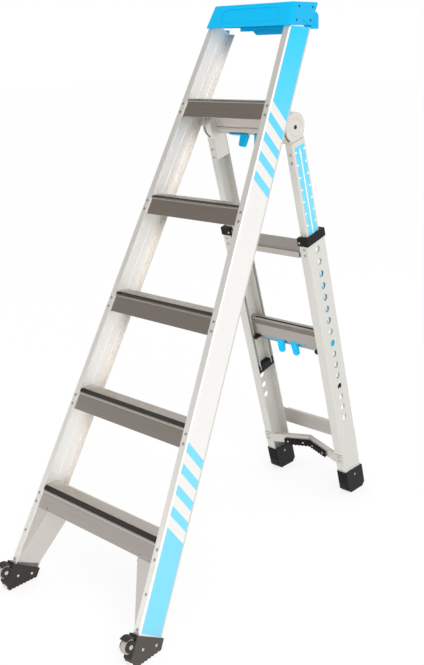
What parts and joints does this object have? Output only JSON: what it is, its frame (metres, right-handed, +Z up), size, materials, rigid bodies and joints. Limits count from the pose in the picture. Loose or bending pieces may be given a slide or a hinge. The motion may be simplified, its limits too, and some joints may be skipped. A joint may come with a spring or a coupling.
{
  "type": "combination ladder",
  "caption": "Folding aluminium stepladder with flared front stiles, level treads, blue moulded top cap and a hinged rear section that slides in and out, on wheeled boots.",
  "frame": {"origin": "on the floor, at the middle of the ladder's footprint box", "axes": "+Z up, +X to the right of a climber who faces the treads, +Y from the treads to the rear section"},
  "size_m": [0.559, 1.2274, 1.592],
  "materials": {
    "aluminium_stile": "extruded, satin",
    "aluminium_tread": "extruded, mill finish",
    "cast_aluminium": "die cast, matt",
    "zinc_plated_steel": "zinc plated",
    "grip_strip": "matt",
    "blue_plastic": "moulded, satin",
    "grey_foot_plastic": "moulded, matt",
    "black_plastic": "moulded, matt",
    "black_rubber": "moulded, matt",
    "wheel_plastic": "moulded, satin"
  },
  "bodies": {
    "front_frame": {"front_stile_left": "aluminium_stile", "front_stile_right": "aluminium_stile", "tread_1": "aluminium_tread", "tread_2": "aluminium_tread", "tread_3": "aluminium_tread", "tread_4": "aluminium_tread", "tread_5": "aluminium_tread", "tread_grip_strips": "grip_strip", "tread_rivets": "zinc_plated_steel", "knee_brace_left": "aluminium_tread", "knee_brace_right": "aluminium_tread", "knee_brace_rivets": "zinc_plated_steel", "front_foot_left": "grey_foot_plastic", "front_foot_right": "grey_foot_plastic", "wheel_axles": "zinc_plated_steel", "front_foot_rivets": "zinc_plated_steel", "top_cap": "blue_plastic", "top_cap_screws": "zinc_plated_steel", "wall_rest": "blue_plastic", "wall_rest_bolts": "zinc_plated_steel", "hinge_bracket_left": "cast_aluminium", "hinge_bracket_right": "cast_aluminium", "hinge_bracket_rivets": "zinc_plated_steel"},
    "left_wheel": {"wheel_left": "wheel_plastic"},
    "right_wheel": {"wheel_right": "wheel_plastic"},
    "rear_upper": {"hinge_head_left": "cast_aluminium", "hinge_head_right": "cast_aluminium", "hinge_pivot_bolts": "zinc_plated_steel", "inner_stile_left": "aluminium_stile", "inner_stile_right": "aluminium_stile", "hinge_rung": "aluminium_tread", "lever_rung": "aluminium_tread", "lever_rung_grip_strip": "grip_strip", "inner_glide_left": "black_plastic", "inner_glide_right": "black_plastic", "bumpers": "black_rubber", "rear_upper_rivets": "zinc_plated_steel"},
    "rear_lower": {"outer_stile_left": "aluminium_stile", "outer_stile_right": "aluminium_stile", "guide_left": "black_plastic", "guide_right": "black_plastic", "guide_screws": "zinc_plated_steel", "outer_top_rung": "aluminium_tread", "rear_brace": "aluminium_tread", "wall_bar": "aluminium_tread", "wall_bar_pad": "black_rubber", "wall_bar_screws": "zinc_plated_steel", "rear_foot_left": "black_plastic", "rear_foot_right": "black_plastic", "rear_lower_rivets": "zinc_plated_steel"},
    "hinge_lock_left": {"hinge_lock_lever_left": "blue_plastic", "hinge_lock_pin_left": "blue_plastic"},
    "hinge_lock_right": {"hinge_lock_lever_right": "blue_plastic", "hinge_lock_pin_right": "blue_plastic"},
    "slide_lock_left": {"slide_lock_lever_left": "blue_plastic", "slide_lock_pin_left": "blue_plastic"},
    "slide_lock_right": {"slide_lock_lever_right": "blue_plastic", "slide_lock_pin_right": "blue_plastic"}
  },
  "joints": [
    {"name": "rear_fold", "type": "hinge", "parent": "front_frame", "child": "rear_upper", "pos_m": [0, 0.2263, 1.25917], "axis": [1, 0, 0], "range_deg": [-43.2, 136.8]},
    {"name": "height_adjust", "type": "slide", "parent": "rear_upper", "child": "rear_lower", "axis": [0, 0.2622, -0.965], "range_m": [-0.2884, 0.2884]},
    {"name": "left_wheel_spin", "type": "hinge", "parent": "front_frame", "child": "left_wheel", "pos_m": [-0.26066, -0.59302, 0.06226], "axis": [-0.9974, 0.0337, 0.0634], "continuous": true},
    {"name": "right_wheel_spin", "type": "hinge", "parent": "front_frame", "child": "right_wheel", "pos_m": [0.26066, -0.59302, 0.06226], "axis": [0.9974, 0.0337, 0.0634], "continuous": true},
    {"name": "hinge_lock_left_squeeze", "type": "slide", "parent": "rear_upper", "child": "hinge_lock_left", "axis": [-1, 0, 0], "range_m": [-0.01, 0.004], "stiffness_N_per_m": 600},
    {"name": "hinge_lock_right_squeeze", "type": "slide", "parent": "rear_upper", "child": "hinge_lock_right", "axis": [1, 0, 0], "range_m": [-0.01, 0.004], "stiffness_N_per_m": 600},
    {"name": "slide_lock_left_squeeze", "type": "slide", "parent": "rear_upper", "child": "slide_lock_left", "axis": [-1, 0, 0], "range_m": [-0.01, 0.004], "stiffness_N_per_m": 600},
    {"name": "slide_lock_right_squeeze", "type": "slide", "parent": "rear_upper", "child": "slide_lock_right", "axis": [1, 0, 0], "range_m": [-0.01, 0.004], "stiffness_N_per_m": 600}
  ]
}
